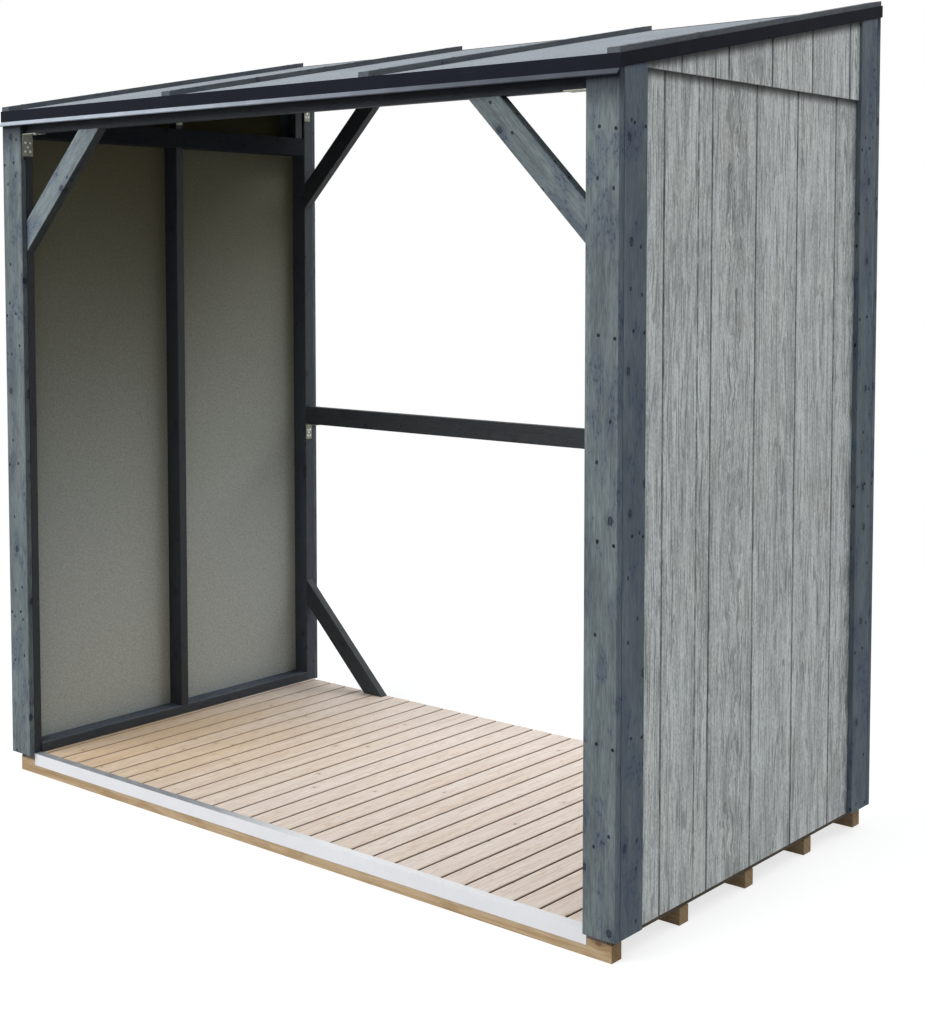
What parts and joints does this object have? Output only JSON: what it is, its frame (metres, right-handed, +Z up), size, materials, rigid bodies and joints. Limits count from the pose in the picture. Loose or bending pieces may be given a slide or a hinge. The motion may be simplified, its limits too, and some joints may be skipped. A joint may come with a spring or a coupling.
{
  "type": "log store",
  "caption": "Open-fronted timber log store with a slatted floor on bearers, grooved side panels, corner braces and a single-pitch felt roof with battens.",
  "frame": {"origin": "on the ground under the middle of the outer box", "axes": "+Z up, +X along the store's length to the right as seen from the open front, +Y from the low open front to the high open back"},
  "size_m": [2.246, 1.247, 2.2553],
  "materials": {
    "slate_stain": "slate grey stain",
    "grey_siding": "light grey wash",
    "pale_pine": "planed, untreated",
    "tan_softwood": "sawn, treated",
    "raw_deck": "sawn",
    "mineral_felt": "mineral grit",
    "white_sheet": "satin",
    "dark_sheet": "satin",
    "galvanised_steel": "galvanised"
  },
  "bodies": {
    "root": {"front_board_left": "slate_stain", "front_board_right": "slate_stain", "back_board_left": "slate_stain", "back_board_right": "slate_stain", "side_front_board_left": "slate_stain", "side_front_board_right": "slate_stain", "side_back_board_left": "slate_stain", "side_back_board_right": "slate_stain", "front_post_left": "slate_stain", "front_post_right": "slate_stain", "back_post_left": "slate_stain", "back_post_right": "slate_stain", "mid_stud_left": "slate_stain", "mid_stud_right": "slate_stain", "bottom_rail_left": "slate_stain", "bottom_rail_right": "slate_stain", "top_rail_left": "slate_stain", "top_rail_right": "slate_stain", "gable_rafter_left": "slate_stain", "gable_rafter_right": "slate_stain", "gable_studs_left": "slate_stain", "gable_studs_right": "slate_stain", "front_header": "slate_stain", "back_header": "slate_stain", "roof_purlin": "slate_stain", "back_rail": "slate_stain", "front_braces": "slate_stain", "back_upper_braces": "slate_stain", "back_lower_braces": "slate_stain", "roof_battens": "slate_stain", "side_panel_left": "grey_siding", "side_panel_right": "grey_siding", "gable_panel_left": "grey_siding", "gable_panel_right": "grey_siding", "floor_boards": "pale_pine", "bearers": "tan_softwood", "roof_deck": "raw_deck", "roof_felt": "mineral_felt", "threshold_trim": "white_sheet", "eave_trim": "dark_sheet", "verge_trims": "dark_sheet", "back_trim": "dark_sheet", "front_brackets": "galvanised_steel", "purlin_brackets": "galvanised_steel", "back_brackets": "galvanised_steel"}
  },
  "joints": []
}
